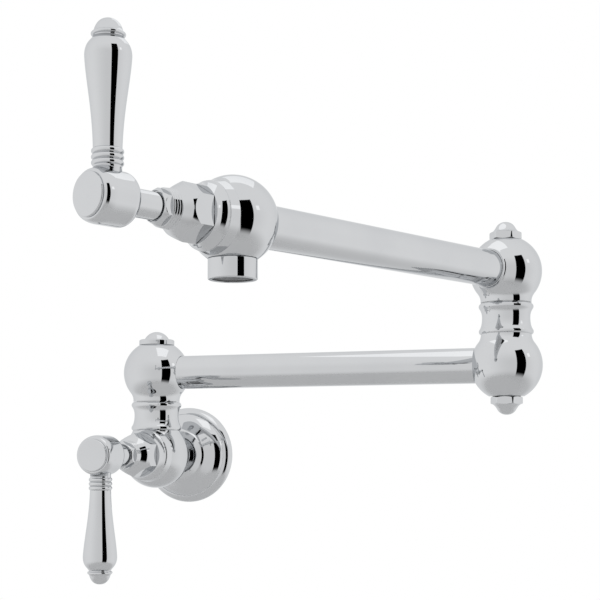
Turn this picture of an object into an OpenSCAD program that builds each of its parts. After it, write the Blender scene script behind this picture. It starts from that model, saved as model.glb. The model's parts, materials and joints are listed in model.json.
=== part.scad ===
// Wall-mounted pot filler with two folding arms and two quarter-turn lever valves.
// The origin is the centre of the threaded inlet, on the wall. +Z is up, -Y is away
// from the wall and +X is along the first arm as it rests.

/* [Arms] */
// Distance from post axis to elbow axis, and from elbow axis to the head's centre
arm_reach = 237.4; // [200:0.2:300]
// Height of the first arm above the inlet
first_arm_z = 55.3; // [54:0.1:62]
// Height of the second arm above the first
arm_step = 57.6; // [56.5:0.1:64]
// Turn of the second arm from the first, as it rests, in degrees
elbow_rest = -112.1; // [-150:0.1:-80]
// Outside diameter of the arm tubes
tube_d = 22; // [19:0.1:23]
// Wall of the arm tubes
tube_wall = 1.4; // [1:0.1:2]
// Length of tube held in each ball's socket
tube_grip = 7; // [5:0.5:8]

/* [Ball fittings] */
// Diameter of the balls
ball_d = 44; // [42.5:0.5:47]
// Diameter of a ball's neck where a collar meets it
neck_d = 31; // [30:0.2:33]
// Radius of the hollow blend from ball to neck
neck_blend = 8; // [6:0.5:10]
// Distance from a turning ball's centre to the end of its neck
neck_reach = 19.4; // [18:0.1:20]
// Gap at a seam that turns
seam_gap = 0.2; // [0.1:0.05:0.4]

/* [Swivels] */
// Length of the waisted collar under a turning ball
collar_len = 19.1; // [17:0.1:20]
// Diameter over the collar's two beads
collar_bead_d = 33.4; // [32.6:0.2:35]
// Radius of a bead's rounding
collar_bead_round = 2.2; // [1.6:0.1:2.6]
// Diameter of the collar's waist
collar_waist_d = 29.4; // [29:0.2:31]
// Diameter of the spindle that a ball turns on
spindle_d = 16; // [15:0.2:16.6]
// Bore of the spindle
spindle_bore_d = 9.2; // [8:0.2:10]
// Diameter of the spindle's threaded ends
spindle_stub_d = 8; // [7:0.2:8.4]
// Diameter of the spindle's clamping flange and of the washer on it
spindle_flange_d = 26; // [24:0.5:26.4]
// Thickness of the spindle's flange
spindle_flange_t = 2.5; // [2:0.1:3]
// Thickness of the plain washer under a turning ball
swivel_washer_t = 1.8; // [1:0.1:2.2]
// Thickness of the cord of the spindle's sealing rings
ring_cord_d = 1.8; // [1.4:0.1:2]
// Diameter of the water chamber inside a ball
chamber_d = 20; // [18:0.5:21]
// Height of the water chamber inside a ball
chamber_h = 12; // [10:0.5:14]

/* [Caps] */
// Distance from the post ball's centre to the seat of its cap
cap_seat = 18.6; // [18.2:0.1:19]
// Diameter of the round cap on the post
cap_d = 23.6; // [22:0.2:25]
// Height of the cap's plain edge
cap_edge_h = 3.6; // [3:0.1:4.5]
// Diameter of the cap's dome at its foot
cap_dome_d = 16.6; // [15:0.2:18]
// Height of the cap's dome
cap_dome_h = 5.4; // [5:0.1:7]
// Distance from an elbow ball's centre to the seat of its acorn nut
nut_seat = 19.2; // [18.8:0.1:19.6]
// Size of the acorn nuts across their flats
nut_af = 17.6; // [16.8:0.2:18.4]
// Height of an acorn nut's hexagon
nut_hex_h = 4.1; // [3.4:0.1:5]
// Height of an acorn nut's dome above its hexagon
nut_dome_h = 7.2; // [6:0.1:8]
// Diameter of an acorn nut's dome
nut_dome_d = 12.4; // [12:0.2:13.6]
// Turn of the acorn nuts about the elbow, in degrees
nut_turn = -24.2; // [-30:0.2:30]

/* [Wall flange] */
// Distance from the wall to the post axis
post_offset = 52.8; // [50:0.2:60]
// Diameter of the wall flange
flange_d = 66.6; // [60:0.2:74]
// Thickness of the flange's edge on the wall
flange_edge_t = 2.6; // [2:0.1:4]
// Width of the rounded rim and the groove inside it
flange_step_w = 3; // [2.8:0.1:4]
// Depth of the flange from the wall to its front rim
flange_depth = 16.4; // [15:0.2:19]
// Wall of the flange's bell
flange_wall = 1.6; // [1.2:0.1:2]
// Diameter of the flange's front boss
boss_d = 33.6; // [32:0.2:36]
// Diameter of the recess in the boss
boss_recess_d = 29.4; // [29:0.2:30]
// Depth of the recess in the boss
boss_recess_h = 5; // [4:0.1:6]
// Diameter of the valve body's shank that the flange slides on
shank_d = 24; // [23.4:0.2:24.4]
// Radius of the inlet's threaded hole
inlet_r = 9.6; // [9:0.1:10]
// Length of the inlet's threaded hole
inlet_len = 15; // [12:0.5:18]

/* [Valves] */
// Distance from a valve's centre to its lever's axis
lever_station = 77.4; // [75.4:0.1:84]
// Diameter of the valve neck and of the bonnet's foot
valve_neck_d = 33.4; // [32:0.2:34]
// Distance from a valve ball's centre to the end of its neck
valve_neck_reach = 18; // [17.4:0.1:19]
// Diameter of the cartridge chamber
cartridge_d = 21.2; // [20.6:0.2:21.6]
// Distance from the ball's centre to the cartridge's seat
seat_t = 2; // [1.5:0.1:2.5]
// Diameter of the water port at the seat
port_d = 9; // [8:0.2:10]
// Diameter of the bonnet's threaded skirt
bonnet_skirt_d = 27; // [26:0.2:27.4]
// Length of the bonnet's flared foot
bonnet_foot_len = 6.3; // [5.5:0.1:7]
// Size of the bonnet's hexagon across its flats
bonnet_af = 24.6; // [23.6:0.2:26]
// Length of the bonnet's hexagon
bonnet_hex_len = 11.5; // [10:0.1:13]
// Length of the chamfer on the front of the bonnet's hexagon
bonnet_chamfer = 3.1; // [2.4:0.1:3.6]
// Length of the bonnet's domed shoulder
bonnet_dome_len = 4.6; // [4.2:0.1:6]
// Diameter of the bonnet's ribbed nose
nose_d = 19.2; // [18.6:0.2:20]
// Length of the bonnet's ribbed nose
nose_len = 5.6; // [5.2:0.1:6]
// Size of the packing nut across its flats
packing_nut_af = 15.4; // [15.2:0.2:17]
// Length of the packing nut's hexagon
packing_nut_len = 4.8; // [4.4:0.1:5.2]

/* [Cartridges] */
// Diameter of the ceramic discs
disc_d = 17; // [16.4:0.2:17.2]
// Thickness of each ceramic disc
disc_t = 3; // [2.5:0.1:3.5]
// Diameter of the two water holes in each disc
disc_hole_d = 4.4; // [3.6:0.2:4.8]
// Diameter of the valve stem
stem_d = 9; // [8:0.2:9.4]
// Diameter of the stem's end inside the hub
spline_d = 7.8; // [7:0.2:8]

/* [Levers] */
// Diameter of the sleeve over the stem
sleeve_d = 13; // [12.4:0.2:13.4]
// Diameter of the hub
hub_d = 24.2; // [23:0.2:27]
// Length of the hub
hub_len = 21.6; // [20:0.1:23]
// Distance from the lever's axis to the hub's front face
hub_front = 10.2; // [9:0.1:11]
// Rounding of the hub's rear edge
hub_rear_round = 5; // [3:0.2:5.6]
// Rounding of the hub's front edge
hub_front_round = 2.1; // [1:0.1:2.3]
// Diameter of the round cap on the hub's face
hub_cap_d = 20; // [17:0.2:20.6]
// Thickness of the hub's cap
hub_cap_t = 1.3; // [1:0.1:2]
// Distance from the valve's axis to the lever's tip
lever_len = 79.2; // [78:0.2:95]
// Diameter of the lever's rings
ring_d = 14.4; // [13.8:0.2:16]
// Spacing of the lever's three rings
ring_pitch = 2.6; // [2.4:0.1:3]
// Diameter of the grip at its thin end
grip_thin_d = 12.9; // [12:0.1:13.6]
// Diameter of the grip at its thickest
grip_thick_d = 21; // [18:0.2:24]
// Diameter of the lever's end button
button_d = 15.4; // [14.4:0.2:17]

/* [Aerator] */
// Distance from the head's centre down to the aerator's top edge
aerator_seat = 18.3; // [17.6:0.1:19]
// Diameter of the aerator's shell
aerator_d = 24.1; // [23:0.1:25]
// Height of the aerator's shell
aerator_h = 10.2; // [9.6:0.1:11]
// Diameter of the aerator's screen
screen_d = 20.6; // [19:0.2:21]

/* [Hidden] */
$fn = 96;
eps = 0.01;
turn_fit = 0.05;
slip_fit = 0.1;
seat_fit = 0.15;
ball_r = ball_d / 2;
neck_r = neck_d / 2;
spindle_r = spindle_d / 2;
stub_r = spindle_stub_d / 2;
stub_len = 6;
bore_stop = 15;
stem_r = stem_d / 2;
tube_r = tube_d / 2;
cartridge_r = cartridge_d / 2;
shank_r = shank_d / 2;
second_arm_z = first_arm_z + arm_step;
big = 200;
chrome = [0.80, 0.81, 0.83];
brass = [0.79, 0.63, 0.33];
steel = [0.62, 0.63, 0.65];
rubber = [0.10, 0.10, 0.11];
white_ceramic = [0.94, 0.94, 0.92];
nylon = [0.90, 0.90, 0.87];

// Swivel heights, measured from the turning ball's centre along the spindle
collar_top = -neck_reach - seam_gap;
collar_foot = collar_top - collar_len;
flange_top = -neck_reach - turn_fit - swivel_washer_t;
flange_foot = flange_top - spindle_flange_t;
ring_r = spindle_r - ring_cord_d / 2;
ring_low = -chamber_h / 2 - 6;
ring_high = chamber_h / 2 + 4.5;
window_d = 7.6;
base_neck_reach = first_arm_z + collar_foot;
elbow_neck_reach = arm_step + collar_foot;
spindle_foot = cartridge_r + 0.6;

// Valve stations, measured along the valve's axis from the ball's centre
seal_t = 1.5;
disc_base = seat_t + seal_t;
disc_split = disc_base + disc_t;
disc_film = 0.02;
disc_top = disc_split + disc_film + disc_t;
stem_foot_t = 2.6;
cage_floor = disc_top + stem_foot_t + 0.2;
housing_shoulder = 12.4;
housing_shoulder_t = 1.4;
foot_end = valve_neck_reach + bonnet_foot_len;
hex_start = foot_end + 0.3;
hex_end = hex_start + bonnet_hex_len;
dome_end = hex_end + bonnet_dome_len;
nose_end = dome_end + nose_len;
packing_nut_end = nose_end + packing_nut_len;
packing_base = nose_end - 8.4;
packing_t = 2.8;
packing_r = 7.2;
barrel_r = 8.2;
barrel_end = hex_start + 7;
hub_end = lever_station + hub_front;
hub_start = hub_end - hub_len;
hub_r = hub_d / 2;
sleeve_r = sleeve_d / 2;
sleeve_start = nose_end + 2.4;
sleeve_end = hub_start + 2.6;
spline_start = sleeve_end - 4;
stem_end = hub_end - 8.4;
screw_r = 2;
screw_head_r = 4.4;
screw_head_t = 3;
pocket_r = 6;
pocket_start = stem_end + 2;

// Lever stations, measured out from the valve's axis
ring_round = ring_pitch / 2 + 0.1;
ring_first = hub_r + 2.9;
rings_end = ring_first + 2 * ring_pitch + ring_round;
button_at = lever_len - 7.2;
button_neck_r = button_d / 2 - 0.9;
lever_neck_r = ring_d / 2 - 0.8;
lever_stud_r = 3;
lever_stud_end = rings_end + 4;
lever_stud_start = spline_d / 2 + 1.4;

// Aerator heights, measured down from the head's centre
aerator_foot = aerator_seat + aerator_h;
spigot_r = aerator_d / 2 - 1.4;
spigot_len = 4;
outlet_r = 6;
aerator_washer_t = 1.6;
screen_t = 0.5;
lip_t = 0.8;

// Points of an arc about a centre, from one angle to another
function arc(centre, r, from, to, steps = 8) =
    [for (i = [0 : steps]) let (a = from + (to - from) * i / steps)
        centre + r * [cos(a), sin(a)]];

// Points of a cubic curve between its two end points
function curve(a, b, c, d, steps = 12) =
    [for (i = [0 : steps]) let (t = i / steps, u = 1 - t)
        u * u * u * a + 3 * u * u * t * b + 3 * u * t * t * c + t * t * t * d];

// Places a swivel's pieces on the post, with the origin at the turning ball
module at_post(z) {
    translate([0, -post_offset, z])
        children();
}

// The same at the elbow
module at_elbow(z) {
    translate([arm_reach, -post_offset, z])
        children();
}

// Turns with the second arm, +X running out along it from the elbow
module along_second_arm() {
    at_elbow(second_arm_z)
        rotate([0, 0, elbow_rest])
            children();
}

// The head's centre, +X still running out along the arm
module at_head() {
    along_second_arm()
        translate([arm_reach, 0, 0])
            children();
}

// A valve's own frame has its centre at the ball, +Z out along the stem and +Y up
module at_base_valve() {
    at_post(0)
        rotate([90, 0, 0])
            children();
}

module at_head_valve() {
    at_head()
        rotate([90, 0, 90])
            children();
}

// The lever's own frame has +Z out along the lever
module lever_up() {
    translate([0, 0, lever_station])
        rotate([-90, 0, 0])
            children();
}

module lever_down() {
    translate([0, 0, lever_station])
        rotate([90, 0, 0])
            children();
}

// Plain round bar and round hole from one height to another
module bar(r, from, to) {
    translate([0, 0, from])
        cylinder(r = r, h = to - from);
}

module tube(r_out, r_in, from, to) {
    difference() {
        bar(r_out, from, to);
        bar(r_in, from - 1, to + 1);
    }
}

// Hexagonal bar whose flats face the sides, so that two corners point up and down
module hex_bar(af, from, to) {
    translate([0, 0, from])
        rotate([0, 0, 90])
            cylinder(r = af / 2 / cos(30), h = to - from, $fn = 6);
}

// Ball

// A ball whose surface runs down through a hollow blend into a short neck on +Z
module ball_neck(r, reach, blend) {
    blend_z = sqrt(pow(ball_r + blend, 2) - pow(r + blend, 2));
    foot_r = (r + blend) * ball_r / (ball_r + blend);
    rotate_extrude()
        difference() {
            square([foot_r, reach]);
            translate([r + blend, blend_z])
                circle(r = blend);
            translate([r, blend_z])
                square([blend, big]);
        }
}

// Socket for an arm tube on +X, with its port to the chamber
module arm_socket() {
    rotate([0, 90, 0]) {
        bar(tube_r + slip_fit, socket_floor(), big);
        bar(tube_r - tube_wall, 0, socket_floor() + 1);
    }
}

// Distance from the ball's centre to the floor of the arm's socket
function socket_floor() = sqrt(pow(ball_r, 2) - pow(tube_r, 2)) - tube_grip;

// Ball that holds an arm and runs on a spindle, its neck on -Z and its seat on +Z
module swivel_ball(reach, seat) {
    difference() {
        union() {
            sphere(r = ball_r);
            mirror([0, 0, 1])
                ball_neck(neck_r, reach, neck_blend);
        }
        bar(ball_d, seat, ball_d);
        bar(ball_d, -ball_d, -reach);
        bar(spindle_r + turn_fit, -reach - 1, bore_stop);
        bar(stub_r + slip_fit, bore_stop - 1, seat + 1);
        bar(chamber_d / 2, -chamber_h / 2, chamber_h / 2);
        arm_socket();
    }
}

module post_ball() {
    color(chrome)
        at_post(first_arm_z)
            swivel_ball(neck_reach, cap_seat);
}

module elbow_lower_ball() {
    color(chrome)
        at_elbow(first_arm_z)
            rotate([0, 0, 180])
                mirror([0, 0, 1])
                    swivel_ball(elbow_neck_reach, nut_seat);
}

module elbow_upper_ball() {
    color(chrome)
        along_second_arm()
            swivel_ball(neck_reach, nut_seat);
}

// Swivel

// Collar with a bead at each end and a hollow waist, held under the spindle's flange
module swivel_collar() {
    round_r = collar_bead_round;
    bead_x = collar_bead_d / 2 - round_r;
    waist = [collar_waist_d / 2, collar_top - collar_len * 0.47];
    foot_bead = arc([bead_x, collar_foot + round_r * 0.7], round_r, -asin(0.7), 35, 6);
    top_bead = arc([bead_x, collar_top - round_r], round_r, -35, 60, 6);
    difference() {
        rotate_extrude()
            polygon(concat(
                [[spindle_r + slip_fit, collar_foot]],
                foot_bead,
                curve(foot_bead[6], foot_bead[6] + [-0.9, 1.3], waist - [0, 3.5], waist, 10),
                curve(waist, waist + [0, 2.7], top_bead[0] - [0.9, 1.3], top_bead[0], 10),
                top_bead,
                [[neck_r, collar_top], [spindle_r + slip_fit, collar_top]]
            ));
        bar(spindle_flange_d / 2 + slip_fit, flange_foot, collar_top + 1);
    }
}

// Hollow spindle with its clamping flange, four windows in each ball and a ring groove
// above and below the turning ball's chamber
module swivel_spindle(foot, foot_stub, windows, top) {
    bore_foot = foot_stub > 0 ? windows[0] - chamber_h / 2 : foot - 1;
    difference() {
        union() {
            bar(spindle_r, foot, bore_stop - seat_fit);
            bar(spindle_flange_d / 2, flange_foot, flange_top);
            bar(stub_r, bore_stop - 1, top + stub_len);
            if (foot_stub > 0)
                bar(stub_r, foot - foot_stub, foot + 1);
        }
        bar(spindle_bore_d / 2, bore_foot, chamber_h / 2);
        for (z = windows)
            for (turn = [45, 135])
                translate([0, 0, z])
                    rotate([90, 0, turn])
                        cylinder(d = window_d, h = spindle_d * 2, center = true);
        for (z = [ring_low, ring_high])
            tube(spindle_r + 1, spindle_r - ring_cord_d, z - ring_cord_d * 0.6, z + ring_cord_d * 0.6);
    }
}

// The two sealing rings in the spindle's grooves
module swivel_rings() {
    for (z = [ring_low, ring_high])
        translate([0, 0, z])
            rotate_extrude()
                translate([ring_r, 0])
                    circle(r = ring_cord_d / 2 - eps, $fn = 32);
}

module swivel_washer() {
    tube(spindle_flange_d / 2, spindle_r + slip_fit, flange_top, -neck_reach - turn_fit);
}

module post_collar() {
    color(chrome)
        at_post(first_arm_z)
            swivel_collar();
}

module post_spindle() {
    color(brass)
        at_post(first_arm_z)
            swivel_spindle(spindle_foot - first_arm_z, 0, [0], cap_seat);
}

module post_rings() {
    color(rubber)
        at_post(first_arm_z)
            swivel_rings();
}

module post_washer() {
    color(nylon)
        at_post(first_arm_z)
            swivel_washer();
}

module elbow_collar() {
    color(chrome)
        at_elbow(second_arm_z)
            swivel_collar();
}

module elbow_spindle() {
    color(brass)
        at_elbow(second_arm_z)
            swivel_spindle(-arm_step - bore_stop, nut_seat - bore_stop + stub_len,
                [-arm_step, 0], nut_seat);
}

module elbow_rings() {
    color(rubber)
        at_elbow(second_arm_z)
            swivel_rings();
}

module elbow_washer() {
    color(nylon)
        at_elbow(second_arm_z)
            swivel_washer();
}

// Caps

// Round cap with a plain edge, a small chamfer and a low dome, on the post's spindle
module post_cap() {
    dome_r = cap_dome_d / 2;
    dome_arc_r = (pow(dome_r, 2) + pow(cap_dome_h, 2)) / (2 * cap_dome_h);
    dome_angle = asin(dome_r / dome_arc_r);
    color(chrome)
        at_post(first_arm_z + cap_seat + seat_fit)
            difference() {
                rotate_extrude()
                    polygon(concat(
                        [[0, 0], [cap_d / 2, 0], [cap_d / 2, cap_edge_h - 0.6], [cap_d / 2 - 0.8, cap_edge_h]],
                        arc([0, cap_edge_h + cap_dome_h - dome_arc_r], dome_arc_r, 90 - dome_angle, 90, 10)
                    ));
                bar(stub_r + slip_fit, -1, stub_len + 0.3);
            }
}

// Acorn nut on +Z, its hollow flare and round dome turned from the hexagon
module acorn_nut() {
    corner_r = nut_af / 2 / cos(30);
    dome_r = nut_dome_d / 2;
    flare_end = nut_hex_h + nut_dome_h / 3;
    nut_top = nut_hex_h + nut_dome_h;
    difference() {
        intersection() {
            hex_bar(nut_af, 0, nut_top);
            rotate_extrude()
                polygon(concat(
                    [[0, 0], [nut_af / 2, 0], [corner_r, 0.8], [corner_r, nut_hex_h - 0.4]],
                    curve([corner_r - 0.4, nut_hex_h], [dome_r + 1.6, nut_hex_h + 0.5],
                        [dome_r + 0.5, flare_end - 0.6], [dome_r + 0.1, flare_end], 8),
                    curve([dome_r, flare_end + 0.5], [dome_r - 0.1, nut_top - 1.6],
                        [dome_r * 0.6, nut_top], [0, nut_top], 8)
                ));
        }
        bar(stub_r + slip_fit, -1, stub_len + 0.3);
    }
}

module elbow_top_nut() {
    color(chrome)
        at_elbow(second_arm_z + nut_seat + seat_fit)
            rotate([0, 0, nut_turn])
                acorn_nut();
}

module elbow_bottom_nut() {
    color(chrome)
        at_elbow(first_arm_z - nut_seat)
            rotate([0, 0, nut_turn])
                mirror([0, 0, 1])
                    acorn_nut();
}

// Arms

// Tube along +X between the socket floors of two balls
module arm_tube() {
    rotate([0, 90, 0])
        tube(tube_r, tube_r - tube_wall, socket_floor(), arm_reach - socket_floor());
}

module lower_arm() {
    color(chrome)
        at_post(first_arm_z)
            arm_tube();
}

module upper_arm() {
    color(chrome)
        along_second_arm()
            arm_tube();
}

// Wall flange

// Bell that slides on the valve body's shank, open at the back, with a rounded rim, a
// groove inside it and a recessed boss that the bell's face sweeps up to
module wall_flange() {
    rim_r = flange_d / 2;
    step_r = rim_r - flange_step_w;
    boss_r = boss_d / 2;
    back = flange_wall;
    bell_top = [boss_r + 2.6, flange_depth - 3.6];
    bell = curve([step_r, flange_edge_t - 0.2], [rim_r * 0.87, flange_depth * 0.4],
        bell_top + [3.6, -1.9], bell_top, 12);
    color(chrome)
        rotate([90, 0, 0])
            rotate_extrude()
                polygon(concat(
                    [[rim_r - back, 0], [rim_r, 0]],
                    arc([rim_r - 1.4, flange_edge_t - 1.4], 1.4, 0, 110, 6),
                    [[step_r + 0.5, flange_edge_t - 0.4]],
                    bell,
                    curve(bell_top, bell_top + [-1, 0.5], [boss_r + 0.2, flange_depth - 2.2],
                        [boss_r, flange_depth - 1], 6),
                    arc([boss_r - 0.8, flange_depth - 0.8], 0.8, 0, 90, 4),
                    [[boss_recess_d / 2, flange_depth - 0.3],
                        [boss_recess_d / 2 - 0.6, flange_depth - boss_recess_h],
                        [shank_r + slip_fit, flange_depth - boss_recess_h],
                        [shank_r + slip_fit, 8.6], [shank_r + 1.9, 8.6], [shank_r + 1.9, 6.4],
                        [shank_r + slip_fit, 6.4], [shank_r + slip_fit, 4.6],
                        [boss_r - back, 4.6], [boss_r - back, flange_depth - 5.2]],
                    [for (i = [len(bell) - 2 : -1 : 1]) bell[i] - [back * 0.5, back]],
                    [[rim_r - back, flange_edge_t - 1.8]]
                ));
}

// Ring inside the boss that grips the shank
module flange_ring() {
    color(rubber)
        rotate([90, 0, 0])
            translate([0, 0, 7.5])
                rotate_extrude()
                    translate([shank_r + 0.95, 0])
                        circle(r = 0.85, $fn = 32);
}

// Valve bodies

// Hollow that takes the cartridge and the bonnet's skirt, with its port from behind and
// a gallery round the cartridge that leads the water on
module cartridge_hollow(port_from) {
    bar(ball_r, valve_neck_reach, ball_d);
    bar(cartridge_r, seat_t, valve_neck_reach + 1);
    bar(bonnet_skirt_d / 2 + slip_fit, housing_shoulder, valve_neck_reach + 1);
    bar(port_d / 2, port_from, seat_t + 1);
    bar(cartridge_r + 1.2, disc_base, housing_shoulder - 1);
}

// Ball with the inlet shank behind it and the post's neck above it
module base_valve_body() {
    color(chrome)
        at_base_valve()
            difference() {
                union() {
                    sphere(r = ball_r);
                    ball_neck(valve_neck_d / 2, valve_neck_reach, neck_blend - 2);
                    rotate([-90, 0, 0])
                        ball_neck(neck_r, base_neck_reach, neck_blend);
                    bar(shank_r, -post_offset, 0);
                }
                translate([-big / 2, base_neck_reach, -big / 2])
                    cube(big);
                cartridge_hollow(-post_offset);
                bar(inlet_r, -post_offset - 1, inlet_len - post_offset);
                rotate([-90, 0, 0]) {
                    bar(spindle_r + slip_fit, spindle_foot, base_neck_reach + 1);
                    bar(outlet_r, port_d / 2 + 2.4, spindle_foot + 1);
                }
            }
}

// Ball at the end of the second arm with the outlet's spigot under it
module head_valve_body() {
    color(chrome)
        at_head_valve()
            difference() {
                union() {
                    difference() {
                        union() {
                            sphere(r = ball_r);
                            ball_neck(valve_neck_d / 2, valve_neck_reach, neck_blend - 2);
                        }
                        translate([-big / 2, -big - aerator_seat, -big / 2])
                            cube(big);
                    }
                    rotate([90, 0, 0])
                        bar(spigot_r, aerator_seat - 4, aerator_seat + spigot_len);
                }
                cartridge_hollow(-ball_d);
                bar(tube_r + slip_fit, -ball_d, -socket_floor());
                rotate([90, 0, 0])
                    bar(outlet_r, port_d / 2 + 2.4, aerator_foot);
            }
}

// Aerator

module aerator_shell() {
    shell_r = aerator_d / 2;
    color(chrome)
        at_head()
            rotate([180, 0, 0])
                rotate_extrude()
                    polygon([[spigot_r + slip_fit, aerator_seat], [shell_r - 0.4, aerator_seat],
                        [shell_r, aerator_seat + 0.4], [shell_r, aerator_foot - 0.9],
                        [shell_r - 0.7, aerator_foot], [screen_d / 2 - 0.4, aerator_foot],
                        [screen_d / 2 - 0.4, aerator_foot - lip_t],
                        [spigot_r + slip_fit, aerator_foot - lip_t]]);
}

module aerator_washer() {
    top = aerator_seat + spigot_len;
    color(rubber)
        at_head()
            rotate([180, 0, 0])
                tube(spigot_r, outlet_r + 1, top, top + aerator_washer_t);
}

// Core with a ring of jet holes round its middle
module aerator_core() {
    top = aerator_seat + spigot_len + aerator_washer_t;
    jets = 8;
    color(nylon)
        at_head()
            rotate([180, 0, 0])
                difference() {
                    bar(spigot_r, top, aerator_foot - lip_t - screen_t);
                    for (i = [0 : jets - 1])
                        rotate([0, 0, i * 360 / jets])
                            translate([outlet_r - 0.6, 0, 0])
                                bar(1.1, top - 1, aerator_foot);
                }
}

module aerator_screen() {
    color(steel)
        at_head()
            rotate([180, 0, 0])
                bar(spigot_r, aerator_foot - lip_t - screen_t, aerator_foot - lip_t);
}

// Cartridge

module cartridge_seal() {
    tube(disc_d / 2, port_d / 2, seat_t, disc_base);
}

// Ceramic disc with two round water holes across its middle
module ceramic_disc(from, to, turn) {
    difference() {
        bar(disc_d / 2, from, to);
        for (a = [0, 180])
            rotate([0, 0, a + turn])
                translate([disc_d / 4 + 0.2, 0, 0])
                    bar(disc_hole_d / 2, from - 1, to + 1);
    }
}

module fixed_disc() {
    ceramic_disc(disc_base, disc_split, 0);
}

module turning_disc() {
    ceramic_disc(disc_split + disc_film, disc_top, 90);
}

// Brass housing round the discs, with side windows, a clamping shoulder and a barrel
module cartridge_housing() {
    cage_r = disc_d / 2 + slip_fit;
    difference() {
        union() {
            bar(cartridge_r - slip_fit, disc_base, housing_shoulder + 1);
            bar(bonnet_skirt_d / 2, housing_shoulder, housing_shoulder + housing_shoulder_t);
            bar(barrel_r, housing_shoulder, barrel_end);
        }
        bar(cage_r, disc_base - 1, cage_floor);
        bar(stem_r + turn_fit, cage_floor - 1, barrel_end + 1);
        for (turn = [0, 90])
            rotate([0, 0, turn])
                translate([0, 0, (disc_split + cage_floor) / 2 + 0.6])
                    cube([cartridge_d * 2, 5, cage_floor - disc_split - 1.6], center = true);
    }
}

// Stem with the cross foot that drives the turning disc, and its screw hole
module valve_stem() {
    difference() {
        union() {
            intersection() {
                bar(disc_d / 2 - 0.3, disc_top, disc_top + stem_foot_t);
                translate([-big / 2, -2.2, 0])
                    cube([big, 4.4, big]);
            }
            bar(stem_r, disc_top, spline_start);
            bar(spline_d / 2, spline_start - 1, stem_end);
        }
        bar(screw_r, stem_end - 12, stem_end + 1);
    }
}

// Bonnet

// Bonnet nut with a threaded skirt, a flared foot, a hexagon that its domed shoulder runs
// into and a nose with four ribs
module bonnet() {
    foot_r = valve_neck_d / 2;
    flat_r = bonnet_af / 2;
    corner_r = flat_r / cos(30);
    nose_r = nose_d / 2;
    skirt_start = housing_shoulder + housing_shoulder_t;
    dome_foot = [nose_r - 1, dome_end];
    rib_pitch = nose_len / 4;
    difference() {
        union() {
            bar(bonnet_skirt_d / 2, skirt_start, valve_neck_reach + 1);
            rotate_extrude()
                polygon(concat(
                    [[0, valve_neck_reach], [foot_r - 0.3, valve_neck_reach]],
                    curve([foot_r, valve_neck_reach + 0.3], [foot_r - 1.3, valve_neck_reach + 1.6],
                        [corner_r + 0.2, foot_end - 2.3], [corner_r, foot_end], 10),
                    [[0, foot_end]]
                ));
            bar(flat_r - 0.25, foot_end - 1, hex_start + 1);
            intersection() {
                hex_bar(bonnet_af, hex_start, dome_end);
                rotate_extrude()
                    polygon(concat(
                        [[0, hex_start], [corner_r, hex_start], [corner_r, hex_end - bonnet_chamfer]],
                        curve([flat_r, hex_end], [flat_r - 1.05, hex_end + 1.6],
                            dome_foot + [1.4, -1.35], dome_foot, 8),
                        [[0, dome_end]]
                    ));
            }
            rotate_extrude()
                polygon(concat(
                    [[0, dome_end - 1], [nose_r - 1, dome_end - 1], [nose_r - 1, dome_end + 0.2]],
                    [for (i = [0 : 3]) let (z = dome_end + 0.3 + i * rib_pitch, r = nose_r - i * 0.12)
                        each [[r - 0.45, z], [r, z + 0.5]]],
                    [[nose_r - 0.7, nose_end], [0, nose_end]]
                ));
        }
        bar(barrel_r + slip_fit, skirt_start - 1, barrel_end + 0.3);
        bar(stem_r + 0.4, barrel_end, nose_end);
        bar(packing_r + slip_fit, packing_base, nose_end + 1);
    }
}

module stem_packing() {
    tube(packing_r, stem_r + turn_fit, packing_base, packing_base + packing_t);
}

// Packing nut with a threaded skirt and a hexagon hollowed for the stem's sleeve
module packing_nut() {
    flat_r = packing_nut_af / 2;
    difference() {
        union() {
            bar(packing_r, packing_base + packing_t, nose_end + 1);
            intersection() {
                hex_bar(packing_nut_af, nose_end, packing_nut_end);
                rotate_extrude()
                    polygon([[0, nose_end], [flat_r + 1.4, nose_end],
                        [flat_r + 1.4, packing_nut_end - 3.3], [flat_r, packing_nut_end - 1.1],
                        [flat_r - 0.7, packing_nut_end], [0, packing_nut_end]]);
            }
        }
        bar(stem_r + 0.4, packing_base, packing_nut_end);
        bar(sleeve_r + turn_fit, sleeve_start - 0.3, packing_nut_end + 1);
    }
}

// Lever

module stem_sleeve() {
    tube(sleeve_r, stem_r + slip_fit, sleeve_start, sleeve_end);
}

// Round hub with a large rear rounding and a long front one, bored for the stem, its
// screw and the lever's stud
module hub() {
    front_start = hub_end - hub_front_round * 1.8;
    difference() {
        rotate_extrude()
            polygon(concat(
                [[0, hub_start]],
                arc([hub_r - hub_rear_round, hub_start + hub_rear_round], hub_rear_round, 270, 360, 10),
                curve([hub_r, front_start], [hub_r, front_start + hub_front_round],
                    [hub_r - hub_front_round * 0.45, hub_end], [hub_r - hub_front_round, hub_end], 8),
                [[0, hub_end]]
            ));
        bar(sleeve_r + slip_fit, hub_start - 1, sleeve_end + 0.1);
        bar(spline_d / 2 + slip_fit, sleeve_end, stem_end + 0.1);
        bar(screw_r + slip_fit, stem_end - 1, pocket_start + 1);
        bar(pocket_r, pocket_start, hub_end + 1);
        translate([0, 0, lever_station])
            rotate([-90, 0, 0])
                bar(lever_stud_r + slip_fit, lever_stud_start - 0.2, hub_d);
    }
}

module hub_screw() {
    difference() {
        union() {
            bar(screw_r - turn_fit, stem_end - 10, pocket_start + 1);
            bar(screw_head_r, pocket_start, pocket_start + screw_head_t);
        }
        hex_bar(4, pocket_start + 1, pocket_start + screw_head_t + 1);
    }
}

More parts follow.
